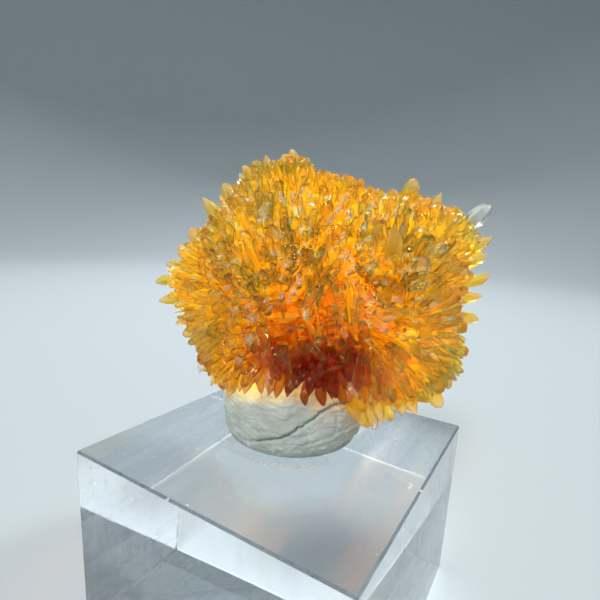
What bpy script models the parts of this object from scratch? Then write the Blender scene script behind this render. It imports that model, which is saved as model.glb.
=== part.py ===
"""Creedite specimen: a cluster of orange, bladed crystals, stuck with a lump of putty on a
clear acrylic block.

The origin is the middle of the block's underside, +Z is up, and lengths are in metres.
"""
import math
import random
from collections import namedtuple

import bmesh
import bpy
from mathutils import Matrix, Vector

MM = 0.001
GAP = 0.3 * MM

# The block is a stock size of polished acrylic, with its edges just broken.
BLOCK_SIDE = 30 * MM
BLOCK_HEIGHT = 20 * MM
BLOCK_EDGE = 0.2 * MM

# The putty is a ball pressed down by thumb, a little behind and left of the block's middle.
PUTTY_X = -1.1 * MM
PUTTY_Y = 2.5 * MM
PUTTY_FOOT = 7.1 * MM
PUTTY_FOOT_ROUND = 0.5 * MM
PUTTY_BELLY = 7.7 * MM
PUTTY_BELLY_HEIGHT = 2.8 * MM
PUTTY_HEIGHT = 8.6 * MM
PUTTY_FLATTENING = 0.45
PUTTY_SQUEEZE = 0.022
PUTTY_DENTS = 0.014
PUTTY_STEPS = 9
PUTTY_SEGMENTS = 26

# The cluster is measured from the middle of the putty's foot: X across its broad face, Y
# away from whoever looks at that face, Z up. The broad face is turned from the block's
# front wall. Its form is a ball with sprays that stand past it, and its core is the share
# of that form in which the crystals have grown together.
FACE_TURN = math.radians(31)
CLUSTER_MIDDLE = Vector((1.5, 0.0, 15.8)) * MM
BALL = Vector((12.3, 11.2, 12.1)) * MM
CORE_SHARE = 0.8
CORE_UNEVEN = 0.05
SEED = 11

# Blades cover the form evenly. Tips stand a set distance apart, above the block, and the
# skirt is the row of blades that hangs round the putty. Flatness is thickness to width, the
# root and the chisel edge are shares of the width, and so is the length of a pointed end.
TRIES = 1200
SPACING = 2.15 * MM
TIP_SHARE = (0.95, 1.04)
LOWEST_TIP = 2.2 * MM
SKIRT_BLADES = 20
SKIRT_RADIUS = 9.2 * MM
SKIRT_TIP = 6.4 * MM
SKIRT_UNEVEN = 0.7 * MM
BLADE_WIDTH = (1.9 * MM, 3.2 * MM)
BLADE_FLATNESS = (0.5, 0.75)
BLADE_ROOT = 0.6
CHISEL_EDGE = 0.4
POINT_LENGTH = 0.9
ROOT_SCATTER = 0.9 * MM
ROOT_DEPTH = 0.42
FAN_SHARPNESS = 9

# A spray is a sheaf of blades that fan out from one point. Its heading is where it points
# in the broad face (0 is right, 90 is up), and its lean is how far it points away from the
# viewer, in degrees, as its spread is. Its reach is how far it stands past the ball, and
# its fan is the point that its blades spread from.
Spray = namedtuple("Spray", "heading lean reach spread fan")
SPRAYS = (
    Spray(24, 6, 6.6 * MM, 25, Vector((9.3, 0.0, 15.2)) * MM),
    Spray(332, -12, 5.6 * MM, 27, Vector((9.0, 0.0, 14.2)) * MM),
    Spray(112, 2, 2.8 * MM, 30, Vector((-1.0, 0.0, 15.4)) * MM),
    Spray(178, 5, 3.9 * MM, 24, Vector((-6.2, 0.0, 15.6)) * MM),
    Spray(222, -20, 2.4 * MM, 26, Vector((-4.0, 0.0, 14.5)) * MM),
    Spray(285, -30, 1.0 * MM, 30, Vector((3.0, 0.0, 13.5)) * MM),
    Spray(60, 60, 2.2 * MM, 32, Vector((4.0, 0.0, 16.5)) * MM),
    Spray(190, 58, 1.8 * MM, 30, Vector((-3.0, 0.0, 14.5)) * MM),
)

# Large blades that stand out of the outline: where the tip is, and how wide the blade is.
Landmark = namedtuple("Landmark", "tip width")
LANDMARKS = (
    Landmark(Vector((11.2, 0.5, 27.8)) * MM, 2.4 * MM),
    Landmark(Vector((14.1, 0.5, 26.4)) * MM, 1.8 * MM),
    Landmark(Vector((19.0, 0.8, 25.8)) * MM, 2.2 * MM),
    Landmark(Vector((20.0, 0.5, 22.3)) * MM, 2.0 * MM),
    Landmark(Vector((20.1, 0.0, 17.4)) * MM, 2.0 * MM),
    Landmark(Vector((18.5, 0.0, 10.2)) * MM, 2.4 * MM),
    Landmark(Vector((15.6, -3.0, 4.9)) * MM, 2.6 * MM),
    Landmark(Vector((12.4, -4.0, 4.0)) * MM, 2.4 * MM),
    Landmark(Vector((7.8, -6.0, 4.0)) * MM, 2.6 * MM),
    Landmark(Vector((-1.3, 0.6, 30.0)) * MM, 2.4 * MM),
    Landmark(Vector((-3.9, 0.4, 29.5)) * MM, 2.0 * MM),
    Landmark(Vector((-8.1, 0.0, 26.4)) * MM, 2.2 * MM),
    Landmark(Vector((-15.4, 0.5, 15.6)) * MM, 2.0 * MM),
    Landmark(Vector((-10.2, -2.0, 7.0)) * MM, 1.9 * MM),
    Landmark(Vector((-7.0, -4.0, 4.7)) * MM, 2.0 * MM),
)


def spray_direction(spray):
    """Unit vector that a spray points along."""
    across = math.radians(spray.heading)
    away = math.radians(spray.lean)
    level = math.cos(away)
    return Vector((math.cos(across) * level, math.sin(away), math.sin(across) * level))


def form_radius(direction):
    """Distance from the cluster's middle to the tips of its blades in one direction."""
    scaled = Vector(part / radius for part, radius in zip(direction, BALL))
    distance = 1 / scaled.length
    for spray in SPRAYS:
        off = math.degrees(direction.angle(spray_direction(spray)))
        distance += spray.reach * math.exp(-((off / spray.spread) ** 2))
    return distance


def fan_point(tip):
    """Point that the blade with this tip grows from, between the fans of the sprays near it."""
    direction = (tip - CLUSTER_MIDDLE).normalized()
    total = Vector()
    weights = 0.0
    for spray in SPRAYS:
        weight = math.exp(FAN_SHARPNESS * direction.dot(spray_direction(spray)))
        total += spray.fan * weight
        weights += weight
    point = total / weights
    point.y = ROOT_DEPTH * tip.y
    return point


def mesh_from(name, bm):
    """Mesh with its faces pointing out, from a bmesh, which is freed."""
    mesh = bpy.data.meshes.new(name)
    bmesh.ops.recalc_face_normals(bm, faces=bm.faces)
    bm.to_mesh(mesh)
    bm.free()
    return mesh


def add_object(name, mesh, collection):
    """Object with this mesh in the collection."""
    made = bpy.data.objects.new(name, mesh)
    collection.objects.link(made)
    return made


def hide_helper(helper):
    """Mark an object that only helps to make another."""
    helper.hide_render = True
    helper.display_type = "WIRE"


def give_material(target, name, colour, roughness, transmission, ior):
    """Plain Principled material on the whole object."""
    material = bpy.data.materials.new(name)
    material.use_nodes = True
    material.diffuse_color = (*colour, 1.0)
    shader = material.node_tree.nodes["Principled BSDF"]
    shader.inputs["Base Color"].default_value = (*colour, 1.0)
    shader.inputs["Roughness"].default_value = roughness
    shader.inputs["Metallic"].default_value = 0.0
    shader.inputs["Transmission Weight"].default_value = transmission
    shader.inputs["IOR"].default_value = ior
    target.data.materials.clear()
    target.data.materials.append(material)


def build_block(collection):
    """Square acrylic block."""
    bm = bmesh.new()
    bmesh.ops.create_cube(bm, size=1.0)
    bmesh.ops.scale(bm, vec=(BLOCK_SIDE, BLOCK_SIDE, BLOCK_HEIGHT), verts=bm.verts)
    bmesh.ops.translate(bm, vec=(0, 0, BLOCK_HEIGHT / 2), verts=bm.verts)
    bmesh.ops.bevel(bm, geom=bm.edges[:], offset=BLOCK_EDGE, segments=1, affect="EDGES")
    return add_object("acrylic_block", mesh_from("acrylic_block", bm), collection)


def putty_profile(swell):
    """Half outline of the putty, from its foot to its top, with all of it grown by swell."""
    foot = PUTTY_FOOT + swell
    belly = PUTTY_BELLY + swell
    base = GAP - swell
    rise = PUTTY_HEIGHT + swell - PUTTY_BELLY_HEIGHT
    points = [(0, base), (foot - PUTTY_FOOT_ROUND, base), (foot, base + PUTTY_FOOT_ROUND)]
    for step in range(PUTTY_STEPS):
        turn = math.radians(90) * step / PUTTY_STEPS
        radius = belly * math.cos(turn) ** PUTTY_FLATTENING
        points.append((radius, PUTTY_BELLY_HEIGHT + rise * math.sin(turn)))
    points.append((0, PUTTY_BELLY_HEIGHT + rise))
    return points


def build_putty(name, swell, collection):
    """Lump of putty, turned from its half outline and squeezed a little out of round."""
    bm = bmesh.new()
    verts = [bm.verts.new((radius, 0, height)) for radius, height in putty_profile(swell)]
    edges = [bm.edges.new(pair) for pair in zip(verts, verts[1:])]
    bmesh.ops.spin(
        bm, geom=verts + edges, cent=(0, 0, 0), axis=(0, 0, 1),
        angle=math.tau, steps=PUTTY_SEGMENTS, use_merge=True,
    )
    bmesh.ops.remove_doubles(bm, verts=bm.verts, dist=0.01 * MM)
    for vert in bm.verts:
        turn = math.atan2(vert.co.y, vert.co.x)
        dent = math.sin(5 * turn + 4 * vert.co.z / PUTTY_HEIGHT)
        swelling = 1 + PUTTY_SQUEEZE * math.sin(2 * turn + 0.6) + PUTTY_DENTS * dent
        vert.co.x *= swelling
        vert.co.y *= swelling
    putty = add_object(name, mesh_from(name, bm), collection)
    putty.location = (PUTTY_X, PUTTY_Y, BLOCK_HEIGHT)
    putty.data.shade_smooth()
    putty.data.set_sharp_from_angle(angle=math.radians(40))
    return putty


def unit_blade(pointed):
    """Blade one unit wide, of rhombic section. Its shaft runs to Z = 1 and its end to Z = 2."""
    bm = bmesh.new()
    bmesh.ops.create_cone(
        bm, cap_ends=True, segments=4, radius1=BLADE_ROOT / 2, radius2=0.5, depth=1.0,
    )
    bmesh.ops.translate(bm, vec=(0, 0, 0.5), verts=bm.verts)
    shoulder = [face for face in bm.faces if face.calc_center_median().z > 0.99]
    raised = bmesh.ops.extrude_face_region(bm, geom=shoulder)["geom"]
    bmesh.ops.delete(bm, geom=shoulder, context="FACES_ONLY")
    end = [item for item in raised if isinstance(item, bmesh.types.BMVert)]
    bmesh.ops.translate(bm, vec=(0, 0, 1.0), verts=end)
    if pointed:
        bmesh.ops.pointmerge(bm, verts=end, merge_co=(0.04, 0.02, 2.0))
        return mesh_from("pointed_blade", bm)
    corners = [vert for vert in end if abs(vert.co.x) > 0.1]
    middle = [vert for vert in end if abs(vert.co.x) < 0.1]
    bmesh.ops.scale(bm, vec=(CHISEL_EDGE, 1, 1), verts=corners)
    bmesh.ops.pointmerge(bm, verts=middle, merge_co=(0, 0, 2.03))
    return mesh_from("chisel_blade", bm)


def add_blade(master, root, tip, width, flatness, roll, collection):
    """Copy of a unit blade from root to tip, turned about its own axis by roll."""
    axis = tip - root
    end_length = min(width * POINT_LENGTH, 0.45 * axis.length)
    shaft_length = axis.length - end_length
    mesh = master.copy()
    for vert in mesh.vertices:
        height = min(vert.co.z, 1.0) * shaft_length + max(vert.co.z - 1.0, 0.0) * end_length
        vert.co = (vert.co.x * width, vert.co.y * width * flatness, height)
    aim = axis.to_track_quat("Z", "X").to_matrix().to_4x4()
    mesh.transform(Matrix.Translation(root) @ aim @ Matrix.Rotation(roll, 4, "Z"))
    hide_helper(add_object("blade", mesh, collection))


def golden_directions(count):
    """Even directions all round, along a golden spiral from the top down."""
    step = math.pi * (3 - math.sqrt(5))
    for index in range(count):
        height = 1 - 2 * (index + 0.5) / count
        level = math.sqrt(1 - height * height)
        yield Vector((level * math.cos(index * step), level * math.sin(index * step), height))


def skirt_tips(chance):
    """Tips of the blades that hang round the putty."""
    for index in range(SKIRT_BLADES):
        turn = math.tau * (index + chance.uniform(-0.25, 0.25)) / SKIRT_BLADES
        height = SKIRT_TIP + chance.uniform(-SKIRT_UNEVEN, SKIRT_UNEVEN)
        yield Vector((math.cos(turn) * SKIRT_RADIUS, math.sin(turn) * SKIRT_RADIUS, height))


def cluster_tips(chance):
    """Tip and width of every blade: the landmarks, the skirt, then an even cover."""
    tips = [(landmark.tip, landmark.width) for landmark in LANDMARKS]
    tips += [(tip, chance.uniform(*BLADE_WIDTH)) for tip in skirt_tips(chance)]
    for direction in golden_directions(TRIES):
        share = chance.uniform(*TIP_SHARE)
        tip = CLUSTER_MIDDLE + direction * form_radius(direction) * share
        over_putty = math.hypot(tip.x, tip.y) < SKIRT_RADIUS and tip.z < CLUSTER_MIDDLE.z
        crowded = any((tip - other).length < SPACING for other, _ in tips)
        if tip.z > LOWEST_TIP and not over_putty and not crowded:
            tips.append((tip, chance.uniform(*BLADE_WIDTH)))
    return tips


def grow_blades(collection):
    """Every blade of the cluster, each from its fan to its tip."""
    chance = random.Random(SEED)
    masters = [unit_blade(True), unit_blade(False)]
    for tip, width in cluster_tips(chance):
        root = fan_point(tip) + Vector(chance.gauss(0, ROOT_SCATTER) for _ in range(3))
        flatness = chance.uniform(*BLADE_FLATNESS)
        roll = chance.uniform(0, math.pi)
        add_blade(chance.choice(masters), root, tip, width, flatness, roll, collection)


def build_core(collection):
    """Grown-together middle of the cluster, which every blade comes out of."""
    chance = random.Random(SEED)
    bm = bmesh.new()
    bmesh.ops.create_icosphere(bm, subdivisions=2, radius=1.0)
    for vert in bm.verts:
        direction = vert.co.normalized()
        share = CORE_SHARE + chance.uniform(-CORE_UNEVEN, CORE_UNEVEN)
        vert.co = CLUSTER_MIDDLE + direction * form_radius(direction) * share
    return add_object("crystal_cluster", mesh_from("crystal_cluster", bm), collection)


def add_boolean(target, operation):
    """Exact Boolean modifier, whose operand the caller sets."""
    modifier = target.modifiers.new(operation.lower(), "BOOLEAN")
    modifier.operation = operation
    modifier.solver = "EXACT"
    return modifier


def loose_pieces(bm):
    """Sets of joined vertices, the smallest first."""
    left = set(bm.verts)
    pieces = []
    while left:
        queue = [left.pop()]
        piece = set(queue)
        while queue:
            for edge in queue.pop().link_edges:
                near = left.intersection(edge.verts)
                left -= near
                piece |= near
                queue.extend(near)
        pieces.append(piece)
    return sorted(pieces, key=len)


def apply_modifiers(target):
    """Make the evaluated mesh the object's own, without the crumbs that a cut leaves."""
    bpy.context.view_layer.update()
    graph = bpy.context.evaluated_depsgraph_get()
    mesh = bpy.data.meshes.new_from_object(target.evaluated_get(graph))
    bm = bmesh.new()
    bm.from_mesh(mesh)
    bmesh.ops.dissolve_degenerate(bm, dist=0.001 * MM, edges=bm.edges)
    crumbs = [vert for piece in loose_pieces(bm)[:-1] for vert in piece]
    bmesh.ops.delete(bm, geom=crumbs, context="VERTS")
    bm.to_mesh(mesh)
    bm.free()
    target.modifiers.clear()
    target.data = mesh


def build_cluster(collection):
    """Blades and core joined in one solid, hollowed where the putty holds it."""
    blades = bpy.data.collections.new("blades")
    bpy.context.scene.collection.children.link(blades)
    grow_blades(blades)
    cluster = build_core(collection)
    place = Matrix.Translation((PUTTY_X, PUTTY_Y, BLOCK_HEIGHT))
    place = place @ Matrix.Rotation(FACE_TURN, 4, "Z")
    for piece in [cluster, *blades.objects]:
        piece.matrix_world = place
    sleeve = build_putty("putty_sleeve", GAP, collection)
    hide_helper(sleeve)

    union = add_boolean(cluster, "UNION")
    union.operand_type = "COLLECTION"
    union.collection = blades
    add_boolean(cluster, "DIFFERENCE").object = sleeve
    apply_modifiers(cluster)
    for helper in [sleeve, *blades.objects]:
        bpy.data.objects.remove(helper)
    bpy.data.collections.remove(blades)
    return cluster


def main():
    for leftover in list(bpy.data.objects):
        bpy.data.objects.remove(leftover)
    collection = bpy.context.scene.collection
    block = build_block(collection)
    give_material(block, "acrylic", (0.93, 0.95, 0.96), 0.04, 1.0, 1.49)
    putty = build_putty("putty", 0.0, collection)
    give_material(putty, "putty", (0.62, 0.65, 0.60), 0.6, 0.0, 1.5)
    cluster = build_cluster(collection)
    give_material(cluster, "creedite", (0.93, 0.45, 0.05), 0.12, 0.6, 1.47)


main()
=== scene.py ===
import math
import random

import bpy
import numpy as np
from mathutils import Matrix, Vector, noise


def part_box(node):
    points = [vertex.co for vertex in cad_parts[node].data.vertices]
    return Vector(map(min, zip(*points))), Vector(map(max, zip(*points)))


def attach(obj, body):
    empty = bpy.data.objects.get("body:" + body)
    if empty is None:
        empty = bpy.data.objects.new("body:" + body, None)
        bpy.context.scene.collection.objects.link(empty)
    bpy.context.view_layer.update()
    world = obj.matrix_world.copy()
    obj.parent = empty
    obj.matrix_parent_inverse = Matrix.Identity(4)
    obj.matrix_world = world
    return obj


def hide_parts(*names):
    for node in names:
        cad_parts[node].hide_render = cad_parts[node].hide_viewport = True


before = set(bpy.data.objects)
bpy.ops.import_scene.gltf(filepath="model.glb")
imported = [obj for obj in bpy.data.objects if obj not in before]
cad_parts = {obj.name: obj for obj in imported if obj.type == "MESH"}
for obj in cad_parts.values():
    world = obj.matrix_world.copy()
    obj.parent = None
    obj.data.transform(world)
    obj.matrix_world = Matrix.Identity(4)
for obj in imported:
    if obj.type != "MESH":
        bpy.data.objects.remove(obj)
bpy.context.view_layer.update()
bpy.ops.object.select_all(action="DESELECT")
mm = 0.001


# Acrylic block. A 30 mm square is sawn from cast acrylic sheet and its walls are polished, so
# it is clear right through. A wiping cloth has left soft smears, hair scratches and a little
# dust on it. It stands free and carries the rest, and the frame's own solid stays.

block_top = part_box("acrylic_block")[1].z
smear_turn = math.radians(28)
scratch_turn = math.radians(-35)


def new_material(name):
    """Material with one Principled shader, its node tree and that shader."""
    material = bpy.data.materials.new(name)
    material.use_nodes = True
    return material, material.node_tree, material.node_tree.nodes["Principled BSDF"]


def feed(tree, socket, value):
    """Give a socket its plain numbers, or join another node's output to it."""
    if isinstance(value, bpy.types.NodeSocket):
        tree.links.new(value, socket)
    elif isinstance(value, tuple) and len(value) < len(socket.default_value):
        socket.default_value = (*value, 1)
    else:
        socket.default_value = value


def let_lamps_through(tree, shader, tint):
    """Rays from the lamps pass a clear piece with its tint, so that what is behind is lit."""
    path = tree.nodes.new("ShaderNodeLightPath")
    through = tree.nodes.new("ShaderNodeBsdfTransparent")
    feed(tree, through.inputs["Color"], tint)
    mix = tree.nodes.new("ShaderNodeMixShader")
    tree.links.new(path.outputs["Is Shadow Ray"], mix.inputs["Fac"])
    tree.links.new(shader.outputs["BSDF"], mix.inputs[1])
    tree.links.new(through.outputs["BSDF"], mix.inputs[2])
    tree.links.new(mix.outputs["Shader"], tree.nodes["Material Output"].inputs["Surface"])


def add_noise(tree, place, scale, detail=3.0, roughness=0.5):
    """Noise texture on a coordinate, as its output."""
    cloud = tree.nodes.new("ShaderNodeTexNoise")
    cloud.inputs["Scale"].default_value = scale
    cloud.inputs["Detail"].default_value = detail
    cloud.inputs["Roughness"].default_value = roughness
    tree.links.new(place, cloud.inputs["Vector"])
    return cloud.outputs["Fac"]


def add_steps(tree, value, low, high, to_low, to_high):
    """Map Range node that takes low..high to to_low..to_high, as its output."""
    span = tree.nodes.new("ShaderNodeMapRange")
    for label, amount in (
        ("Value", value), ("From Min", low), ("From Max", high), ("To Min", to_low), ("To Max", to_high),
    ):
        feed(tree, span.inputs[label], amount)
    return span.outputs["Result"]


def stretched(tree, place, scale, turn=0.0):
    """A coordinate, turned about Z and scaled, for a pattern that runs one way."""
    mapping = tree.nodes.new("ShaderNodeMapping")
    mapping.inputs["Scale"].default_value = scale
    mapping.inputs["Rotation"].default_value = (0, 0, turn)
    tree.links.new(place, mapping.inputs["Vector"])
    return mapping.outputs["Vector"]


def add_bump(tree, shader, height, strength, distance):
    """Bump on a shader's normal from a height pattern."""
    bump = tree.nodes.new("ShaderNodeBump")
    bump.inputs["Strength"].default_value = strength
    bump.inputs["Distance"].default_value = distance
    tree.links.new(height, bump.inputs["Height"])
    tree.links.new(bump.outputs["Normal"], shader.inputs["Normal"])


acrylic, tree, shader = new_material("clear_acrylic")
shader.inputs["Base Color"].default_value = (0.975, 0.985, 1.0, 1)
shader.inputs["Transmission Weight"].default_value = 1.0
shader.inputs["IOR"].default_value = 1.49
shader.inputs["Coat Roughness"].default_value = 0.38
shader.inputs["Coat IOR"].default_value = 1.6
place = tree.nodes.new("ShaderNodeTexCoord").outputs["Object"]
smear = add_noise(tree, stretched(tree, place, (420, 45, 120), smear_turn), 1.0, 5.0, 0.6)
tree.links.new(add_steps(tree, smear, 0.42, 0.7, 0.0, 1.0), shader.inputs["Coat Weight"])
dust = add_noise(tree, place, 3600, 2.0)
speck = add_steps(tree, dust, 0.74, 0.78, 0.0, 0.5)
haze = add_steps(tree, smear, 0.5, 0.8, 0.012, 0.14)
rough = tree.nodes.new("ShaderNodeMath")
rough.operation = "ADD"
tree.links.new(speck, rough.inputs[0])
tree.links.new(haze, rough.inputs[1])
tree.links.new(rough.outputs["Value"], shader.inputs["Roughness"])
scratch = add_noise(tree, stretched(tree, place, (9000, 140, 600), scratch_turn), 1.0, 2.0)
add_bump(tree, shader, scratch, 0.06, 0.02 * mm)
let_lamps_through(tree, shader, (0.96, 0.98, 0.99))
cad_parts["acrylic_block"].material_slots[0].material = acrylic


# Mounting putty. A ball of pale grey-green reusable putty was pressed on the block by hand and
# the specimen pushed into it from above. That left a fold that climbs to the right, a dimple
# and fine creases in its dry skin.

putty_place = Vector((-1.1 * mm, 2.5 * mm, block_top))
broad_face_turn = math.radians(31)
putty_foot = 7.1 * mm
putty_belly = 7.7 * mm
putty_belly_height = 2.8 * mm
putty_height = 8.6 * mm
putty_flattening = 0.45
putty_clearance = 0.02 * mm
foot_slice = 0.4 * mm
foot_rings = 20
dome_rings = 84
putty_fold = (
    # turn from the front in degrees, height in mm
    (-40, 0.6), (-27, 1.2), (-16, 1.8), (-6, 2.3), (4, 3.2), (14, 4.0),
    (21, 4.6), (27, 5.0), (36, 5.35), (50, 5.1), (62, 4.2),
)
fold_from, fold_to = math.radians(-48), math.radians(68)
fold_depth = 0.6 * mm
fold_width = 0.15 * mm
fold_wander = 0.1 * mm
lip_height = 0.2 * mm
lip_offset = 0.5 * mm
lip_width = 0.45 * mm
crease_depth = 0.3 * mm
wrinkle_depth = 0.08 * mm
dent_depth = 0.12 * mm
dimple_turn = math.radians(-37)
dimple_height = 2.8 * mm
dimple_depth = 0.35 * mm
dimple_width = 0.35 * mm
smooth_foot = 0.6 * mm
smooth_top = 1 * mm


def into_edit(target, mode):
    """Edit mode on one object, with nothing selected."""
    bpy.context.view_layer.objects.active = target
    bpy.ops.object.mode_set(mode="EDIT")
    bpy.ops.mesh.select_mode(type=mode)
    bpy.ops.mesh.select_all(action="DESELECT")


def pick_faces(target, wanted):
    """Select the faces of which wanted says yes, from edit mode and back to it."""
    bpy.ops.mesh.select_all(action="DESELECT")
    bpy.ops.object.mode_set(mode="OBJECT")
    for face in target.data.polygons:
        face.select = wanted(face)
    bpy.ops.object.mode_set(mode="EDIT")


bpy.ops.mesh.primitive_cylinder_add(
    vertices=540, radius=putty_foot, depth=foot_slice,
    location=putty_place + Vector((0, 0, putty_clearance + foot_slice / 2)),
)
putty = bpy.context.object
putty.name = "pressed_putty"
bpy.ops.object.transform_apply()
into_edit(putty, "FACE")
pick_faces(putty, lambda face: face.normal.z > 0.9)
radius = putty_foot
height = putty_clearance + foot_slice
rings = []
for step in range(1, foot_rings):
    share = step / foot_rings
    wide = putty_foot + (putty_belly - putty_foot) * share ** 0.5
    rings.append((wide, height + (putty_belly_height - height) * share))
for step in range(dome_rings):
    turn = math.radians(90) * step / dome_rings
    rise = (putty_height - putty_belly_height) * math.sin(turn)
    rings.append((putty_belly * math.cos(turn) ** putty_flattening, putty_belly_height + rise))
for next_radius, next_height in rings:
    bpy.ops.mesh.extrude_region_move(TRANSFORM_OT_translate={"value": (0, 0, next_height - height)})
    ratio = next_radius / radius
    bpy.ops.transform.resize(value=(ratio, ratio, 1), center_override=putty_place)
    radius = next_radius
    height = next_height
bpy.ops.mesh.inset(thickness=radius * 0.5)
bpy.ops.mesh.merge(type="CENTER")
bpy.ops.object.mode_set(mode="OBJECT")


def fold_distance(across, rise):
    """Distance from the fold's line over the putty's skin, positive above the line."""
    best = 1.0
    side = 1.0
    for (turn_a, rise_a), (turn_b, rise_b) in zip(putty_fold, putty_fold[1:]):
        start = Vector((math.radians(turn_a) * putty_belly, rise_a * mm))
        run = Vector((math.radians(turn_b) * putty_belly, rise_b * mm)) - start
        off = Vector((across, rise)) - start
        along = min(max(off.dot(run) / run.length_squared, 0), 1)
        gap = (off - run * along).length
        if gap < best:
            best = gap
            side = 1.0 if run.cross(off) > 0 else -1.0
    return best * side


noise.seed_set(5)
front_way = Vector((math.sin(broad_face_turn), -math.cos(broad_face_turn)))
right_way = Vector((math.cos(broad_face_turn), math.sin(broad_face_turn)))
for vert in putty.data.vertices:
    out = vert.co - putty_place
    level = Vector((out.x, out.y))
    if level.length < smooth_top:
        continue
    turn = math.atan2(level.dot(right_way), level.dot(front_way))
    across = turn * putty_belly
    angle = math.atan2(out.y, out.x)
    push = 0.022 * math.sin(2 * angle + 0.6) * level.length
    push += 0.014 * math.sin(5 * angle + 4 * out.z / putty_height) * level.length
    spot = Vector((across / mm + out.z / mm * 0.4, out.z / mm, 3))
    wave = noise.fractal(Vector((spot.x * 0.32, spot.y * 1.15, 3)), 0.9, 2.1, 5)
    push -= crease_depth * (0.5 - min(abs(wave), 0.5)) * 2 * 0.6
    push += wrinkle_depth * noise.fractal(Vector((spot.x * 1.6, spot.y * 2.6, 6)), 0.9, 2.1, 3)
    push += dent_depth * noise.noise(Vector((spot.x * 0.35, spot.y * 0.5, 9)))
    if fold_from < turn < fold_to:
        wander = fold_wander * noise.noise(Vector((spot.x * 2.2, spot.y * 2.2, 1)))
        gap = fold_distance(across, out.z) + wander
        fade = min(1, math.degrees(turn) / 22 + 2.2) * min(1, 4.5 - math.degrees(turn) / 15)
        push -= fold_depth * fade * math.exp(-((gap / fold_width) ** 2))
        if gap > 0:
            push += lip_height * fade * math.exp(-(((gap - lip_offset) / lip_width) ** 2))
    dimple = math.hypot(across - dimple_turn * putty_belly, (out.z - dimple_height) * 1.4)
    push -= dimple_depth * math.exp(-((dimple / dimple_width) ** 2))
    push *= min(1, out.z / smooth_foot)
    vert.co += Vector((out.x, out.y, 0)).normalized() * push
bpy.ops.object.shade_smooth()

putty_skin, tree, shader = new_material("pale_putty")
shader.inputs["Subsurface Weight"].default_value = 0.25
shader.inputs["Subsurface Radius"].default_value = (1.0, 0.9, 0.7)
shader.inputs["Subsurface Scale"].default_value = 1.0 * mm
place = tree.nodes.new("ShaderNodeTexCoord").outputs["Object"]
cloud = add_noise(tree, place, 260, 6.0, 0.65)
tones = tree.nodes.new("ShaderNodeValToRGB")
tones.color_ramp.elements[0].position = 0.32
tones.color_ramp.elements[0].color = (0.48, 0.52, 0.45, 1)
tones.color_ramp.elements[1].position = 0.68
tones.color_ramp.elements[1].color = (0.78, 0.85, 0.79, 1)
tree.links.new(cloud, tones.inputs["Fac"])
tree.links.new(tones.outputs["Color"], shader.inputs["Base Color"])
grain = add_noise(tree, place, 3400, 4.0, 0.7)
tree.links.new(add_steps(tree, grain, 0.3, 0.7, 0.5, 0.75), shader.inputs["Roughness"])
add_bump(tree, shader, grain, 0.7, 0.12 * mm)
putty.data.materials.append(putty_skin)
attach(putty, "root")
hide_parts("putty")


# Ring of trapped air. Pressed down, the putty crept over the block in front and drew back. It
# left a thin greasy film stuck to the acrylic, with a band of tiny round beads at its rim.

film_thickness = 0.03 * mm
film_inner = 7.0 * mm
film_middle_ratio = 1.12
film_rim = 8.75 * mm
film_turn = math.radians(-16)
film_reach = 6.2 * mm
film_wave = 0.12 * mm
bead_count = 210
bead_band = 8.72 * mm
bead_sizes_mm = (0.08, 0.20)


def join_all(pieces):
    """One object out of several."""
    bpy.ops.object.select_all(action="DESELECT")
    for piece in pieces:
        piece.select_set(True)
    bpy.context.view_layer.objects.active = pieces[0]
    bpy.ops.object.join()
    return bpy.context.object


def on_block(turn, radius, height):
    """Place on the block by its turn from the putty's front, its radius and its height."""
    level = front_way * math.cos(turn) + right_way * math.sin(turn)
    return putty_place + Vector((level.x * radius, level.y * radius, height))


bpy.ops.mesh.primitive_circle_add(
    vertices=144, radius=film_inner, location=putty_place + Vector((0, 0, 0.5 * putty_clearance)))
film = bpy.context.object
bpy.ops.object.transform_apply()
into_edit(film, "EDGE")
bpy.ops.mesh.select_all(action="SELECT")
for ratio in (film_middle_ratio, film_rim / (film_inner * film_middle_ratio)):
    bpy.ops.mesh.extrude_region_move()
    bpy.ops.transform.resize(value=(ratio, ratio, 1), center_override=putty_place)
bpy.ops.mesh.select_mode(type="FACE")
film_front = on_block(film_turn, film_rim, 0)
pick_faces(film, lambda face: (face.center - film_front).length > film_reach)
bpy.ops.mesh.delete(type="FACE")
bpy.ops.mesh.select_all(action="SELECT")
bpy.ops.mesh.normals_make_consistent(inside=False)
bpy.ops.object.mode_set(mode="OBJECT")
for vert in film.data.vertices:
    out = vert.co - putty_place
    if out.length > 8 * mm:
        vert.co += out.normalized() * film_wave * noise.noise(vert.co * 900)
skin = film.modifiers.new("thickness", "SOLIDIFY")
skin.thickness = film_thickness
skin.offset = 1
bpy.ops.object.modifier_apply(modifier=skin.name)

bpy.ops.mesh.primitive_uv_sphere_add(segments=8, ring_count=6, radius=0.5)
bead = bpy.context.object
into_edit(bead, "FACE")
bpy.ops.mesh.select_all(action="SELECT")
bpy.ops.mesh.bisect(plane_co=(0, 0, 0), plane_no=(0, 0, 1), clear_inner=True, use_fill=True)
bpy.ops.object.mode_set(mode="OBJECT")
bpy.ops.object.shade_smooth()
bead_chance = random.Random(11)
beads = []
for _ in range(bead_count):
    turn = math.radians(bead_chance.triangular(-52, 16, -8))
    radius = bead_band + 0.006 * mm * math.degrees(turn) + bead_chance.gauss(0, 0.2) * mm
    size = bead_chance.uniform(*bead_sizes_mm) * mm
    copy = bead.copy()
    copy.data = bead.data.copy()
    flat = Matrix.Diagonal((size, size, size * 0.8, 1))
    copy.data.transform(Matrix.Translation(on_block(turn, radius, putty_clearance)) @ flat)
    bpy.context.scene.collection.objects.link(copy)
    beads.append(copy)
bpy.data.objects.remove(bead)


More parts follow.
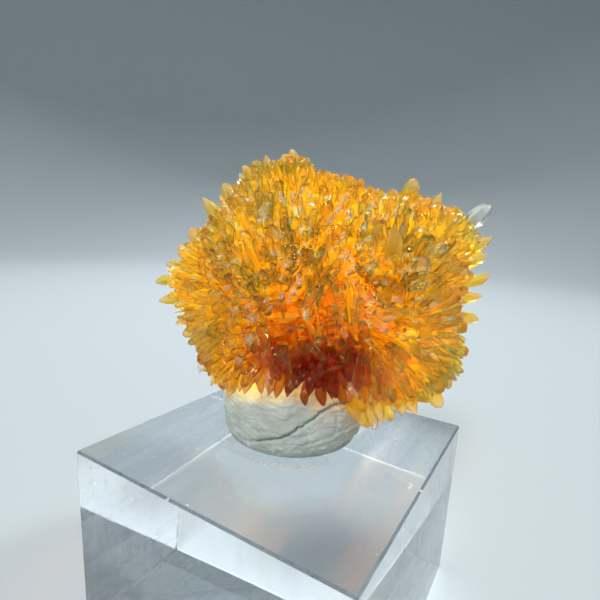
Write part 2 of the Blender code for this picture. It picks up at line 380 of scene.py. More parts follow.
def trapped_material(name, clear, refraction):
    """Whitish wet film or beads, more or less clear."""
    material, tree, shader = new_material(name)
    shader.inputs["Base Color"].default_value = (0.94, 0.96, 0.96, 1)
    shader.inputs["Transmission Weight"].default_value = clear
    shader.inputs["IOR"].default_value = refraction
    place = tree.nodes.new("ShaderNodeTexCoord").outputs["Object"]
    gloss = add_steps(tree, add_noise(tree, place, 500), 0.3, 0.7, 0.15, 0.35)
    tree.links.new(gloss, shader.inputs["Roughness"])
    let_lamps_through(tree, shader, (0.97, 0.98, 0.98))
    return material


film.data.materials.append(trapped_material("greasy_film", 0.96, 1.12))
bead_glass = trapped_material("trapped_beads", 0.3, 1.35)
for copy in beads:
    copy.data.materials.append(bead_glass)
press_ring = join_all([film] + beads)
press_ring.name = "press_ring"
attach(press_ring, "root")


# Heart of the cluster. Creedite is a clear orange mineral that grew outward in sprays. Here,
# behind its blades, they are grown together into one solid that glows between them. The putty
# holds it from below.

cluster_middle = Vector((1.5, 0.0, 15.8)) * mm
ball = Vector((12.3, 11.2, 12.1)) * mm
heart_share = 0.76
sprays = (
    # heading and lean in degrees, reach in mm, spread in degrees, (across, up) of its middle in mm
    (24, 6, 6.6, 25, (9.3, 15.2)),
    (332, -12, 5.6, 27, (9.0, 14.2)),
    (112, 2, 2.8, 30, (-1.0, 15.4)),
    (178, 5, 3.9, 24, (-6.2, 15.6)),
    (222, -20, 2.4, 26, (-4.0, 14.5)),
    (285, -30, 1.0, 30, (3.0, 13.5)),
    (60, 60, 2.2, 32, (4.0, 16.5)),
    (190, 58, 1.8, 30, (-3.0, 14.5)),
)
cluster_place = Matrix.Translation(putty_place) @ Matrix.Rotation(broad_face_turn, 4, "Z")


def spray_direction(heading, lean):
    """Unit vector that a spray points along."""
    across, away = math.radians(heading), math.radians(lean)
    level = math.cos(away)
    return Vector((math.cos(across) * level, math.sin(away), math.sin(across) * level))


spray_ways = [spray_direction(heading, lean) for heading, lean, _, _, _ in sprays]


def form_radius(direction):
    """Distance from the cluster's middle to the tips of its blades in one direction."""
    scaled = Vector(part / radius for part, radius in zip(direction, ball))
    distance = 1 / scaled.length
    for (_, _, reach, spread, _), way in zip(sprays, spray_ways):
        off = math.degrees(direction.angle(way))
        distance += reach * mm * math.exp(-((off / spread) ** 2))
    return distance


def hump(value, middle, width):
    """1 at the middle, falling off smoothly to both sides."""
    return math.exp(-(((value - middle * mm) / (width * mm)) ** 2))


def painted_shade_share(tip):
    """How far into the red a blade is: most under the front of the cluster, over the putty. The red there
    is painted shade, laid on the deeper colour of thick creedite.
    """
    return min(1.0, 1.3 * hump(tip.x, 1.8, 5.0) * hump(tip.y, -8.0, 7.0) * hump(tip.z, 8.8, 3.8))


def golden(tip):
    """How golden a blade is: less in the middle of the front and at the right, which are orange."""
    front = 0.95 * hump(tip.x, 1.5, 9) * hump(tip.y, -9, 10) * hump(tip.z, 13.5, 7.5)
    return max(0.0, 1 - front - 0.4 * hump(tip.x, 15, 5) * hump(tip.z, 15, 5))


def growth_group():
    """Node group of the creedite: its colour, roughness and growth lines over each blade."""
    group = bpy.data.node_groups.new("creedite_growth", "ShaderNodeTree")
    for label in ("Golden", "Orange", "Red", "Pale", "Tip"):
        group.interface.new_socket(label, in_out="INPUT", socket_type="NodeSocketColor")
    for label in ("Tip From", "Tip Share", "Streaks", "Rough"):
        group.interface.new_socket(label, in_out="INPUT", socket_type="NodeSocketFloat")
    group.interface.new_socket("Colour", in_out="OUTPUT", socket_type="NodeSocketColor")
    for label in ("Roughness", "Lines"):
        group.interface.new_socket(label, in_out="OUTPUT", socket_type="NodeSocketFloat")
    given = group.nodes.new("NodeGroupInput").outputs
    made = group.nodes.new("NodeGroupOutput").inputs

    def reading(label):
        attribute = group.nodes.new("ShaderNodeAttribute")
        attribute.attribute_name = label
        return attribute.outputs["Fac"]

    def mixed(share, first, second):
        mix = group.nodes.new("ShaderNodeMix")
        mix.data_type = "RGBA"
        feed(group, mix.inputs["Factor"], share)
        colours = [socket for socket in mix.inputs if socket.type == "RGBA"]
        feed(group, colours[0], first)
        feed(group, colours[1], second)
        return [socket for socket in mix.outputs if socket.type == "RGBA"][0]

    tone = reading("tone")
    growth = group.nodes.new("ShaderNodeUVMap")
    growth.uv_map = "growth"
    streaks = add_noise(group, stretched(group, growth.outputs["UV"], (5, 0.35, 1)), 1.0, 3.0, 0.6)
    lines = add_noise(group, stretched(group, growth.outputs["UV"], (8, 1.2, 1)), 1.0, 4.0, 0.65)
    body = mixed(reading("gold"), given["Orange"], given["Golden"])
    body = mixed(add_steps(group, tone, 0.0, 0.9, 0.0, 0.3), body, given["Pale"])
    body = mixed(add_steps(group, streaks, 0.45, 0.75, 0.0, given["Streaks"]), body, given["Pale"])
    # Towards its tip the blade pales: its thin end is clearer, and a painted reflection lightens it.
    tip = add_steps(group, reading("along"), given["Tip From"], 1.0, 0.0, given["Tip Share"])
    body = mixed(tip, body, given["Tip"])
    # Painted shade: under the front of the cluster the colour turns dark red.
    body = mixed(reading("shade_red"), body, given["Red"])
    body = mixed(add_steps(group, tone, 0.955, 0.965, 0.0, 0.85), body, (1.0, 0.97, 0.90))
    rough = group.nodes.new("ShaderNodeMath")
    rough.operation = "MULTIPLY"
    feed(group, rough.inputs[0], given["Rough"])
    feed(group, rough.inputs[1], add_steps(group, lines, 0.35, 0.7, 0.5, 1.8))
    group.links.new(body, made["Colour"])
    group.links.new(rough.outputs["Value"], made["Roughness"])
    group.links.new(lines, made["Lines"])
    return group


growth_nodes = growth_group()


def creedite_material(name, clear, glow, bump, lamp_tint, **finish):
    """Creedite: amber along the blade, paler at its tip, where its thin end is clearer and a painted
    reflection lightens it, and dark red in the painted shade under the front of the cluster.
    """
    material, tree, shader = new_material(name)
    shader.inputs["Transmission Weight"].default_value = clear
    shader.inputs["IOR"].default_value = 1.47
    shader.inputs["Specular Tint"].default_value = (1.0, 0.80, 0.42, 1)
    shader.inputs["Subsurface Weight"].default_value = glow
    shader.inputs["Subsurface Radius"].default_value = (1.0, 0.6, 0.15)
    shader.inputs["Subsurface Scale"].default_value = 1.5 * mm
    growth = tree.nodes.new("ShaderNodeGroup")
    growth.node_tree = growth_nodes
    for label, value in finish.items():
        feed(tree, growth.inputs[label.replace("_", " ").title()], value)
    tree.links.new(growth.outputs["Colour"], shader.inputs["Base Color"])
    tree.links.new(growth.outputs["Roughness"], shader.inputs["Roughness"])
    add_bump(tree, shader, growth.outputs["Lines"], bump, 0.08 * mm)
    let_lamps_through(tree, shader, lamp_tint)
    return material


def give_values(mesh, label, values):
    """Attribute of one number for each vertex, or the same number for all of them."""
    layer = mesh.attributes.new(label, "FLOAT", "POINT")
    layer.data.foreach_set("value", np.broadcast_to(values, len(mesh.vertices)).astype(np.float32))


chance = random.Random(17)
bpy.ops.mesh.primitive_ico_sphere_add(subdivisions=5, radius=1)
heart = bpy.context.object
heart.name = "creedite_heart"
spots = []
for vert in heart.data.vertices:
    direction = vert.co.normalized()
    rough = noise.fractal(direction * 9, 0.7, 2.1, 4)
    share = heart_share + 0.05 * rough + chance.uniform(-0.01, 0.01)
    spot = cluster_middle + direction * form_radius(direction) * share
    vert.co = cluster_place @ spot
    spots.append(spot)
give_values(heart.data, "along", 0.5)
give_values(heart.data, "tone", 0.5)
# The heart turns dark red in the painted shade under the front of the cluster.
give_values(heart.data, "shade_red", [painted_shade_share(spot) for spot in spots])
give_values(heart.data, "gold", [golden(spot) for spot in spots])
heart.data.uv_layers[0].name = "growth"
# Its red is painted shade under the front of the cluster.
solid_creedite = creedite_material(
    "grown_together_creedite", clear=0.0, glow=0.5, bump=0.3, lamp_tint=(0.9, 0.5, 0.1),
    golden=(0.92, 0.58, 0.010), orange=(0.88, 0.25, 0.003), red=(0.22, 0.008, 0.001),
    pale=(0.90, 0.48, 0.02), tip=(0.96, 0.60, 0.10), tip_from=0.6, tip_share=0.0, streaks=0.2, rough=0.3,
)
heart.data.materials.append(solid_creedite)
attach(heart, "root")


# Inner blades. Flat six-sided crystals of creedite stand on the heart, milky amber inside,
# each sharing the root of the sheaf that it grew in. They fill the gaps between the outer
# blades and are grown together with them.

blade_shapes = {
    # name: (turn of the section, (height, width, thickness, lean) of each ring)
    "spear": (30, (
        (0.5, 0.82, 0.9, 0), (1.0, 1.0, 1.0, 0), (1.5, 0.74, 0.78, 0.01), (2.0, 0.06, 0.05, 0.03),
    )),
    "tongue": (30, (
        (0.5, 0.85, 0.9, 0), (1.0, 1.0, 1.0, 0), (1.5, 0.86, 0.8, 0),
        (1.83, 0.58, 0.5, 0), (2.0, 0.2, 0.08, 0),
    )),
    "chisel": (0, (
        (0.5, 0.85, 0.9, 0), (1.0, 1.0, 1.0, 0), (1.4, 0.95, 0.7, 0), (2.0, 0.6, 0.03, 0),
    )),
    "slant": (0, (
        (0.5, 0.85, 0.9, 0), (1.0, 1.0, 1.0, 0), (1.5, 0.78, 0.7, 0.1), (2.0, 0.28, 0.04, 0.25),
    )),
}
# Length of the pointed end of each, in widths of the blade.
end_lengths = {"spear": 1.25, "tongue": 0.9, "chisel": 0.45, "slant": 0.8}
sheaf_spacing = 3.0 * mm
sheaf_skew = 0.35
full_grown_share = 0.6
lowest_tip = 2.0 * mm
putty_keep_out = 8.9 * mm


def model_blade(name, turn, rings):
    """Blade of hexagonal section, one unit wide: its shaft ends at Z = 1 and its tip at Z = 2."""
    bpy.ops.mesh.primitive_cylinder_add(
        vertices=6, radius=0.5, depth=0.1, location=(0, 0, 0.05), rotation=(0, 0, math.radians(turn)))
    blade = bpy.context.object
    blade.name = name
    bpy.ops.object.transform_apply()
    into_edit(blade, "FACE")
    bpy.ops.mesh.select_all(action="SELECT")
    bpy.ops.transform.resize(value=(0.5, 0.5, 1), center_override=(0, 0, 0))
    pick_faces(blade, lambda face: face.normal.z > 0.9)
    height, wide, thick, side = 0.1, 0.5, 0.5, 0.0
    for next_height, next_wide, next_thick, next_side in rings:
        bpy.ops.mesh.extrude_region_move(TRANSFORM_OT_translate={"value": (0, 0, next_height - height)})
        bpy.ops.transform.resize(
            value=(next_wide / wide, next_thick / thick, 1), center_override=(side, 0, 0))
        bpy.ops.transform.translate(value=(next_side - side, 0, 0))
        height, wide, thick, side = next_height, next_wide, next_thick, next_side
    bpy.ops.mesh.select_all(action="SELECT")
    bpy.ops.mesh.remove_doubles(threshold=0.05)
    bpy.ops.object.mode_set(mode="OBJECT")
    points = np.array([vert.co for vert in blade.data.vertices])
    give_values(blade.data, "along", points[:, 2] / 2)
    blade.data.uv_layers.remove(blade.data.uv_layers[0])
    blade.data.uv_layers.new(name="growth")
    return blade


blades = {name: model_blade(name, *shape) for name, shape in blade_shapes.items()}


def set_crystal(name, root, tip, width, flatness, facing, twist, tone=None):
    """Copy of a blade with its own mesh, from root to tip, its broad side turned to facing."""
    axis = tip - root
    end = min(end_lengths[name] * width, 0.5 * axis.length)
    shaft = axis.length - end
    crystal = blades[name].copy()
    mesh = crystal.data = blades[name].data.copy()
    points = np.array([vert.co for vert in mesh.vertices])
    points[:, 0] *= width
    points[:, 1] *= width * flatness
    low, high = np.minimum(points[:, 2], 1), np.maximum(points[:, 2] - 1, 0)
    points[:, 2] = low * shaft + high * end
    side = chance.random() * 40
    loops = np.zeros(len(mesh.loops), dtype=np.int32)
    mesh.loops.foreach_get("vertex_index", loops)
    growth = np.stack([(points[loops, 0] + points[loops, 1]) / mm + side, points[loops, 2] / mm + side], 1)
    mesh.uv_layers[0].data.foreach_set("uv", growth.ravel().astype(np.float32))
    way = axis.normalized()
    across = facing.cross(way).normalized()
    turned = Matrix((across, way.cross(across), way)).transposed().to_4x4()
    place = cluster_place @ Matrix.Translation(root) @ turned @ Matrix.Rotation(twist, 4, "Z")
    points = points @ np.array(place.to_3x3()).T + np.array(place.translation)
    mesh.vertices.foreach_set("co", points.ravel())
    give_values(mesh, "tone", chance.random() if tone is None else tone)
    # How far it turns dark red in the painted shade under the cluster's front.
    give_values(mesh, "shade_red", painted_shade_share(tip))
    give_values(mesh, "gold", golden(tip))
    bpy.context.scene.collection.objects.link(crystal)
    return crystal


def outward(tip):
    """Way that the broad side of a blade faces: out of the cluster, and to its nearer broad face."""
    away = (tip - cluster_middle).normalized()
    return (away * 0.6 + Vector((0, 0.8 if tip.y > 3 * mm else -0.8, 0))).normalized()


def fan_point(tip, depth=0.8):
    """Point that the blade with this tip grows from, between the fans of the sprays near it."""
    direction = (tip - cluster_middle).normalized()
    total, weights = Vector(), 0.0
    for (_, _, _, _, (across, up)), way in zip(sprays, spray_ways):
        weight = math.exp(9 * direction.dot(way))
        total += Vector((across, 0, up)) * mm * weight
        weights += weight
    point = total / weights
    point.y = depth * tip.y
    return point


def finish_crystals(name, bunches, material):
    """One named piece of the cluster out of joined bunches of crystals."""
    piece = join_all(bunches)
    piece.name = name
    piece.data.materials.append(material)
    bpy.ops.object.select_all(action="DESELECT")
    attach(piece, "root")
    return piece


def golden_directions(count):
    """Even directions all round, along a golden spiral from the top down."""
    step = math.pi * (3 - math.sqrt(5))
    for index in range(count):
        height = 1 - 2 * (index + 0.5) / count
        level = math.sqrt(1 - height * height)
        yield Vector((level * math.cos(index * step), level * math.sin(index * step), height))


def spread_tips(tries, spacing, low, high):
    """Tips that stand a set distance apart on the cluster's form, clear of block and putty."""
    spots = np.zeros((tries, 3))
    tips = []
    for direction in golden_directions(tries):
        tip = cluster_middle + direction * form_radius(direction) * chance.uniform(low, high)
        over_putty = math.hypot(tip.x, tip.y) < putty_keep_out and tip.z < cluster_middle.z
        if tip.z < lowest_tip or over_putty:
            continue
        away = np.sum((spots[:len(tips)] - np.array(tip)) ** 2, 1)
        if len(tips) and away.min() < spacing ** 2:
            continue
        spots[len(tips)] = tip
        tips.append(tip)
    return tips


leaders = spread_tips(tries=1500, spacing=sheaf_spacing, low=1.0, high=1.0)
leader_tips = np.array([list(tip) for tip in leaders])
leader_roots = []
leader_rolls = []
leader_shares = []
for tip in leaders:
    sideways = min(1, abs(tip.x - cluster_middle.x) / (15 * mm))
    upward = max(0, (tip.z - cluster_middle.z) / (14 * mm))
    leader_roots.append(fan_point(tip) + Vector(chance.gauss(0, 1.2 * mm) for _ in range(3)))
    leader_rolls.append(chance.gauss(0, 0.4))
    leader_shares.append(min(1.0, chance.uniform(0.96, 1.02) + 0.04 * sideways - 0.05 * upward))


def tangle(tip):
    """How much the blades lie across each other: most in the middle of the front."""
    return 0.95 * hump(tip.x, 2.5, 5.5) * hump(tip.z, 14.5, 4.5) if tip.y < 0 else 0.0


def grow_layer(tips, widths, flats, names, scatter, root_share, longest):
    """Bunches of crystals, one for each tip, that fan out from the roots of their sheaves."""
    bunches = []
    for start in range(0, len(tips), 200):
        grown = []
        for tip in tips[start:start + 200]:
            nearest = int(np.argmin(np.sum((leader_tips - np.array(tip)) ** 2, 1)))
            leader = Vector(leader_tips[nearest])
            tip = cluster_middle + (tip - cluster_middle) * leader_shares[nearest]
            root = leader_roots[nearest] + (tip - leader) * sheaf_skew
            root += Vector(chance.gauss(0, scatter) for _ in range(3))
            root += (tip - root) * root_share
            if chance.random() < tangle(tip):
                lean = Vector((chance.gauss(0, 1), chance.uniform(0.3, 1.5), chance.gauss(0, 1)))
                root = tip + lean.normalized() * chance.uniform(2.0, 4.5) * mm
            if (tip - root).length > longest:
                root = tip + (root - tip).normalized() * longest * chance.uniform(0.7, 1.0)
            twist = leader_rolls[nearest] + chance.gauss(0, 0.4)
            full_grown = chance.random() < full_grown_share
            width = chance.uniform(*widths) if full_grown else chance.uniform(0.5, 0.9) * widths[0]
            width *= 1 - 0.35 * tangle(tip)
            flat = chance.uniform(*flats)
            shape = chance.choice(names)
            grown.append(set_crystal(shape, root, tip, width, flat, outward(tip), twist))
        bunches.append(join_all(grown))
    return bunches


blade_names = ["spear", "spear", "chisel", "chisel", "slant", "slant", "tongue"]
inner_tips = spread_tips(tries=10000, spacing=0.95 * mm, low=0.785, high=0.92)
# Its red is painted shade under the front of the cluster, and its tip colour is partly a painted
# reflection.
milky_creedite = creedite_material(
    "milky_amber_creedite", clear=0.35, glow=0.35, bump=0.8, lamp_tint=(0.99, 0.94, 0.62),
    golden=(0.92, 0.66, 0.012), orange=(0.90, 0.29, 0.003), red=(0.24, 0.008, 0.001),
    pale=(0.92, 0.58, 0.03), tip=(0.92, 0.60, 0.08), tip_from=0.6, tip_share=0.5, streaks=0.4, rough=0.06,
)
inner_bunches = grow_layer(
    inner_tips, widths=(0.75 * mm, 1.4 * mm), flats=(0.4, 0.7), names=blade_names,
    scatter=0.35 * mm, root_share=0.3, longest=4.5 * mm,
)
finish_crystals("creedite_inner_blades", inner_bunches, milky_creedite)


# Edge blades. Along the outline, and hanging over the putty, single blades stand clear of the
# rest, amber with a pale peach tip that is partly a painted reflection. A few stayed colourless,
# and so did short ones in front that catch a lamp and flash white. Each grew out of the sheaf under it.

rim_blades = (
    # tip across, away and up in mm, width in mm, shape, twist in degrees
    (-15.6, 0.5, 16.1, 1.3, "slant", 0), (-15.2, 0.0, 13.8, 1.2, "spear", 20),
    (-14.4, 0.5, 17.7, 1.3, "tongue", 0), (-13.3, 0.5, 19.6, 1.2, "spear", -20),
    (-11.9, 0.5, 21.6, 1.4, "tongue", 0), (-10.5, 0.5, 24.9, 1.6, "spear", 0),
    (-8.8, 0.5, 25.2, 1.1, "spear", 15), (-8.3, 0.0, 26.3, 1.5, "tongue", 0),
    (-5.9, 0.0, 28.3, 1.6, "slant", 0), (-4.1, 0.4, 29.4, 1.4, "spear", 10),
    (-2.0, 0.8, 29.6, 1.6, "chisel", 0), (-1.1, 0.2, 30.0, 1.5, "slant", 0),
    (0.6, 0.5, 28.8, 1.4, "spear", 10), (2.4, 0.5, 27.7, 1.2, "chisel", 0),
    (3.5, 0.5, 27.8, 1.2, "spear", 0), (5.7, 0.5, 27.4, 1.7, "tongue", 0),
    (7.0, 0.5, 26.4, 1.1, "spear", 0), (9.1, 0.5, 26.7, 1.3, "tongue", 0),
    (11.1, 0.0, 27.8, 1.8, "tongue", 0), (12.4, 0.5, 26.1, 1.1, "slant", 0),
    (14.2, 0.5, 26.6, 1.6, "spear", 0), (16.0, 0.5, 25.2, 1.3, "chisel", 0),
    (20.1, 0.5, 22.4, 1.5, "spear", 0), (19.7, 0.5, 20.5, 1.4, "tongue", 10),
    (20.2, 0.0, 18.2, 1.3, "slant", 0), (19.7, 0.0, 16.1, 1.3, "spear", 0),
    (19.6, 0.0, 13.6, 1.3, "tongue", 0), (18.3, 0.0, 12.2, 1.2, "spear", 0),
    (18.6, 0.0, 9.8, 1.7, "chisel", 0), (18.2, -1.0, 7.7, 1.3, "spear", 0),
    (16.6, -2.0, 6.6, 1.4, "slant", 0), (15.4, -4.0, 4.9, 1.7, "tongue", 0),
    (12.6, -5.0, 4.3, 1.5, "spear", 0), (11.2, -5.5, 4.6, 1.3, "tongue", 0),
    (9.9, -6.0, 4.0, 1.2, "chisel", 10), (9.0, -6.2, 3.7, 1.5, "spear", 0),
    (7.7, -6.2, 3.3, 1.7, "chisel", 0), (6.3, -6.5, 4.0, 1.4, "slant", 0),
    (-13.1, -1.0, 11.6, 1.3, "spear", 0), (-12.1, -1.5, 10.4, 1.3, "tongue", 0),
    (-10.9, -2.0, 9.7, 1.4, "spear", 0), (-6.3, -7.0, 6.0, 1.3, "spear", 0),
    (-4.6, -8.2, 6.9, 1.3, "spear", 0), (-3.2, -8.6, 7.3, 1.0, "slant", 0),
    (-2.3, -8.7, 7.1, 1.2, "spear", 15), (-1.6, -8.8, 6.9, 1.0, "spear", -10),
    (-0.6, -8.8, 7.1, 1.1, "spear", 0), (1.4, -8.8, 7.3, 1.2, "spear", 0),
    (2.5, -8.7, 6.4, 1.3, "slant", 0), (3.6, -8.3, 6.9, 1.3, "spear", 0),
    (0.3, -9.0, 8.2, 1.2, "spear", 0), (7.9, -8.6, 22.9, 1.6, "spear", 0),
)
clear_blades = (
    # the same for the blades that stayed colourless, and where they part from the rest
    (19.4, 0.6, 25.6, 2.0, "tongue", 0, 0.6), (-10.6, -2.0, 6.8, 1.6, "slant", 0, 0.6),
    (-11.6, -0.6, 21.4, 1.2, "chisel", 0, 0.7), (-7.2, -5.0, 22.6, 1.3, "chisel", 30, 0.8),
    (-9.0, -6.0, 12.1, 1.3, "spear", 0, 0.75), (-4.2, -9.4, 12.2, 0.9, "chisel", 0, 0.85),
    (18.4, 0.0, 20.2, 1.0, "spear", 0, 0.8),
    (8.3, -6.4, 3.2, 1.2, "tongue", 0, 0.75), (5.5, -9.0, 7.4, 0.9, "spear", 0, 0.8),
)
skirt_blades = 84
skirt_chance = random.Random(3)
skirt_lift = 1.0 * mm
big_flashes = (
    # tip across, away and up in mm, width in mm, of the short blades that flash white
    (11.8, -6.4, 19.9, 1.4), (13.6, -4.9, 21.4, 1.2), (11.6, -6.7, 19.2, 0.8), (16.7, -3.2, 19.1, 0.9),
    (-7.0, -5.4, 22.9, 0.9), (8.3, -9.5, 15.0, 1.3), (7.9, -9.7, 14.0, 0.8), (-4.3, -9.5, 12.1, 0.8),
    (-5.3, -8.7, 10.0, 0.7), (0.1, -10.8, 17.8, 0.6), (9.7, -8.9, 10.1, 0.7), (3.2, -7.7, 24.4, 0.6),
    (-3.6, -7.1, 24.1, 0.6),
)
small_flashes = 240
small_flash_widths_mm = (0.3, 0.65)
flash_heights = (10 * mm, 26 * mm)
flash_length = 1.6
# Short flashing blades stay out of the painted shade under the front, where it is this red.
painted_shade_limit = 0.4
flash_chance = random.Random(8)
key_place = Vector((-0.20, 0.16, 0.50))
front_place = Vector((0.05, -0.48, 0.42))
viewer_place = Vector((22.6, -36.45, 42.36)) * mm


def set_edge_blade(across, away, up, width, shape, twist, tone, root_share=0.3):
    """Blade of the edge, flat towards the front."""
    tip = Vector((across, away, up)) * mm
    root = fan_point(tip, 0.55)
    root = root + (tip - root) * root_share
    flat = chance.uniform(0.38, 0.5)
    front = Vector((0, -1, 0))
    return set_crystal(shape, root, tip, width * mm, flat, front, math.radians(twist), tone)


def set_flashing_blade(tip, width, lamp_place):
    """Short blade whose broad face lies so that it throws a lamp's light at the viewer."""
    spot = cluster_place @ tip
    halfway = (lamp_place - spot).normalized() + (viewer_place - spot).normalized()
    facing = (cluster_place.to_3x3().inverted() @ halfway).normalized()
    way = (tip - cluster_middle).normalized() + Vector((0.01, 0.0, 0.02))
    way -= facing * way.dot(facing)
    root = tip - way.normalized() * flash_length * width
    return set_crystal("chisel", root, tip, width, 0.5, facing, flash_chance.gauss(0, 0.02), 0.5)


edge_crystals = [set_edge_blade(*blade, tone=chance.uniform(0, 0.6)) for blade in rim_blades]
for index in range(skirt_blades):
    turn = math.tau * (index + skirt_chance.uniform(-0.3, 0.3)) / skirt_blades
    reach = skirt_chance.uniform(8.5, 9.6) * mm
    tip = Vector((math.cos(turn) * reach, math.sin(turn) * reach, skirt_chance.uniform(5.4, 7.8) * mm))
    if tip.y < -3 * mm and abs(tip.x) < 8 * mm:
        tip.z += skirt_lift
    root = fan_point(tip, 0.6)
    root = root + (tip - root) * 0.3
    shape = skirt_chance.choice(["spear", "spear", "slant", "chisel"])
    width = skirt_chance.uniform(0.6, 1.15) * mm
    flat = skirt_chance.uniform(0.35, 0.55)
    facing = Vector((math.cos(turn), math.sin(turn), 0))
    twist = skirt_chance.gauss(0, 0.3)
    edge_crystals.append(set_crystal(shape, root, tip, width, flat, facing, twist))
# Its red is painted shade under the front of the cluster, and its tip colour is partly a painted
# reflection.
edge_creedite = creedite_material(
    "pale_tip_creedite", clear=0.8, glow=0.1, bump=0.8, lamp_tint=(0.99, 0.93, 0.66),
    golden=(0.98, 0.72, 0.08), orange=(0.97, 0.54, 0.03), red=(0.34, 0.020, 0.002),
    pale=(0.98, 0.80, 0.20), tip=(0.95, 0.72, 0.46), tip_from=0.5, tip_share=0.8, streaks=0.4, rough=0.06,
)
finish_crystals("creedite_edge_blades", edge_crystals, edge_creedite)
flashes = [(Vector(place) * mm, width * mm) for *place, width in big_flashes]
while len(flashes) < len(big_flashes) + small_flashes:
    across, away, up = (flash_chance.gauss(middle, 1) for middle in (0, 0, 0.3))
    lean = Vector((across, -abs(away), up)).normalized()
    tip = cluster_middle + lean * form_radius(lean) * flash_chance.uniform(0.92, 0.98)
    if flash_heights[0] < tip.z < flash_heights[1] and painted_shade_share(tip) < painted_shade_limit:
        flashes.append((tip, flash_chance.uniform(*small_flash_widths_mm) * mm))
# Its faintly warm red is painted shade under the front of the cluster, and its paler tip is partly a
# painted reflection.
colourless_creedite = creedite_material(
    "colourless_creedite", clear=0.95, glow=0.0, bump=0.5, lamp_tint=(0.97, 0.97, 0.93),
    golden=(0.97, 0.96, 0.84), orange=(0.97, 0.95, 0.84), red=(0.97, 0.85, 0.60),
    pale=(0.97, 0.97, 0.92), tip=(0.97, 0.97, 0.95), tip_from=0.5, tip_share=0.8, streaks=0.5, rough=0.10,
)
clear_crystals = [
    set_edge_blade(*blade, tone=0.5, root_share=parted) for *blade, parted in clear_blades]
for tip, width in flashes:
    lamp_place = flash_chance.choice([front_place, front_place, key_place])
    clear_crystals.append(set_flashing_blade(tip, width, lamp_place))
finish_crystals("creedite_clear_blades", clear_crystals, colourless_creedite)


# Outer blades. The skin of the cluster is about two and a half thousand clear amber blades,
# standing in sheaves that fan out from the middle of each spray. They are grown together at
# their roots and break the light up between them.

outer_tips = spread_tips(tries=16000, spacing=0.88 * mm, low=0.90, high=0.99)
# Its red is painted shade under the front of the cluster, and its tip colour is partly a painted
# reflection.
clear_creedite = creedite_material(
    "clear_amber_creedite", clear=0.985, glow=0.0, bump=0.8, lamp_tint=(0.997, 0.98, 0.84),
    golden=(1.0, 0.91, 0.24), orange=(1.0, 0.76, 0.09), red=(0.72, 0.12, 0.02),
    pale=(1.0, 0.95, 0.50), tip=(1.0, 0.90, 0.60), tip_from=0.6, tip_share=0.7, streaks=0.4, rough=0.03,
)
tree = clear_creedite.node_tree
soak = tree.nodes.new("ShaderNodeVolumeAbsorption")
soak.inputs["Color"].default_value = (1.0, 0.74, 0.10, 1)
soak.inputs["Density"].default_value = 320
tree.links.new(soak.outputs["Volume"], tree.nodes["Material Output"].inputs["Volume"])
outer_bunches = grow_layer(
    outer_tips, widths=(0.8 * mm, 1.5 * mm), flats=(0.3, 0.6), names=blade_names,
    scatter=0.3 * mm, root_share=0.5, longest=4.5 * mm,
)
outer_blades = finish_crystals("creedite_blades", outer_bunches, clear_creedite)
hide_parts("crystal_cluster")


# Needles. Thin splinters of the same clear creedite stuck up between the blades as they grew,
# at all angles, and catch small points of light. They are rooted in the gaps.

needle_count = 1700
needle_tips = spread_tips(tries=12000, spacing=0.8 * mm, low=0.82, high=0.98)[:needle_count]
needle_bunches = grow_layer(
    needle_tips, widths=(0.3 * mm, 0.7 * mm), flats=(0.5, 0.9), names=["spear", "chisel"],
    scatter=1.2 * mm, root_share=0.5, longest=6.5 * mm,
)
finish_crystals("creedite_needles", needle_bunches, clear_creedite)
for master in blades.values():
    bpy.data.objects.remove(master)


# Studio floor. A sheet of pale paper that lies flat round the object and curves up at a
# distance on all sides, so that no edge shows behind it.

floor_radius = 0.45
paper_sweep = 0.35
paper_upright = 0.3
bpy.ops.mesh.primitive_circle_add(
    vertices=96, radius=floor_radius, fill_type="NGON", location=(0, 0, 0))
paper = bpy.context.object
paper.name = "floor"
into_edit(paper, "EDGE")
bpy.ops.mesh.select_all(action="SELECT")
bpy.ops.mesh.region_to_loop()
reached = floor_radius
risen = 0.0
for degrees in range(10, 91, 10):
    turn = math.radians(degrees)
    next_reach = floor_radius + paper_sweep * math.sin(turn)
    next_rise = paper_sweep * (1 - math.cos(turn))
    bpy.ops.mesh.extrude_region_move(TRANSFORM_OT_translate={"value": (0, 0, next_rise - risen)})
    ratio = next_reach / reached
    bpy.ops.transform.resize(value=(ratio, ratio, 1), center_override=(0, 0, 0))
    reached = next_reach
    risen = next_rise
bpy.ops.mesh.extrude_region_move(TRANSFORM_OT_translate={"value": (0, 0, paper_upright)})
bpy.ops.mesh.select_all(action="SELECT")
bpy.ops.mesh.normals_make_consistent(inside=True)
bpy.ops.object.mode_set(mode="OBJECT")
bpy.ops.object.shade_smooth()
pale_paper, _, shader = new_material("pale_paper")
shader.inputs["Base Color"].default_value = (0.37, 0.42, 0.44, 1)
shader.inputs["Roughness"].default_value = 0.8
paper.data.materials.append(pale_paper)


# Studio light. A soft even sky and four softboxes: a large one high on the left, one behind, a
# narrow one on the right and a small one in front, all turned to the middle of the cluster.

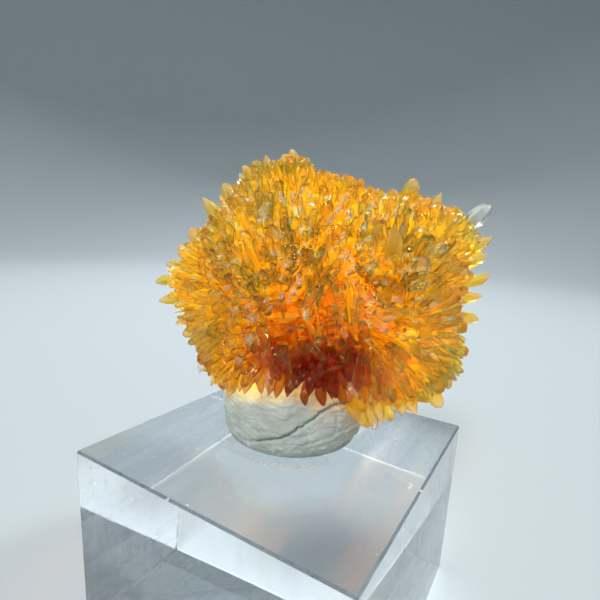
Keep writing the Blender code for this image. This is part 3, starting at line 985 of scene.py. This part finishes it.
lamp_aim = Vector((0, 0, 35 * mm))
world = bpy.data.worlds.new("studio")
bpy.context.scene.world = world
world.use_nodes = True
world.node_tree.nodes["Background"].inputs["Color"].default_value = (0.76, 0.84, 0.90, 1)
world.node_tree.nodes["Background"].inputs["Strength"].default_value = 0.31


def softbox(name, location, size, power):
    """Area light turned to the middle of the cluster."""
    data = bpy.data.lights.new(name, "AREA")
    data.shape = "RECTANGLE"
    data.size, data.size_y = size
    data.energy = power
    lamp = bpy.data.objects.new(name, data)
    bpy.context.scene.collection.objects.link(lamp)
    lamp.location = location
    lamp.rotation_euler = (lamp_aim - lamp.location).to_track_quat("-Z", "Y").to_euler()


softbox("key", key_place, (0.16, 0.16), 2.4)
softbox("back", (-0.25, 0.48, 0.36), (0.12, 0.12), 1.1)
softbox("side", (0.26, 0.20, 0.50), (0.05, 0.10), 1.2)
softbox("front", front_place, (0.08, 0.08), 1.7)


# Camera. It stands close in front of the block, level with the upper crystals, and looks a
# little down, square to the cluster's broad face. Light bounces often enough to come through
# all the clear blades.

frame_pixels = 600
focal_pixels = 427.53
middle_row = 321.19
camera_data = bpy.data.cameras.new("camera")
camera_data.sensor_width = 36
camera_data.lens = focal_pixels / frame_pixels * camera_data.sensor_width
camera_data.shift_y = (middle_row - frame_pixels / 2) / frame_pixels
camera_data.clip_start = 0.001
camera = bpy.data.objects.new("camera", camera_data)
bpy.context.scene.collection.objects.link(camera)
yaw = math.radians(-30.984)
pitch = math.radians(12.371)
roll = math.radians(3.055)
aim = Vector((math.sin(yaw) * math.cos(pitch), math.cos(yaw) * math.cos(pitch), -math.sin(pitch)))
level = Vector((math.cos(yaw), -math.sin(yaw), 0))
right = math.cos(roll) * level + math.sin(roll) * level.cross(aim)
up = right.cross(aim)
camera_turn = Matrix((right, up, -aim)).transposed().to_4x4()
camera.matrix_world = Matrix.Translation(viewer_place) @ camera_turn
bpy.context.scene.camera = camera
bpy.context.scene.view_settings.view_transform = "Standard"
bpy.context.scene.cycles.max_bounces = 13
bpy.context.scene.cycles.transmission_bounces = 13
bpy.context.scene.cycles.transparent_max_bounces = 24
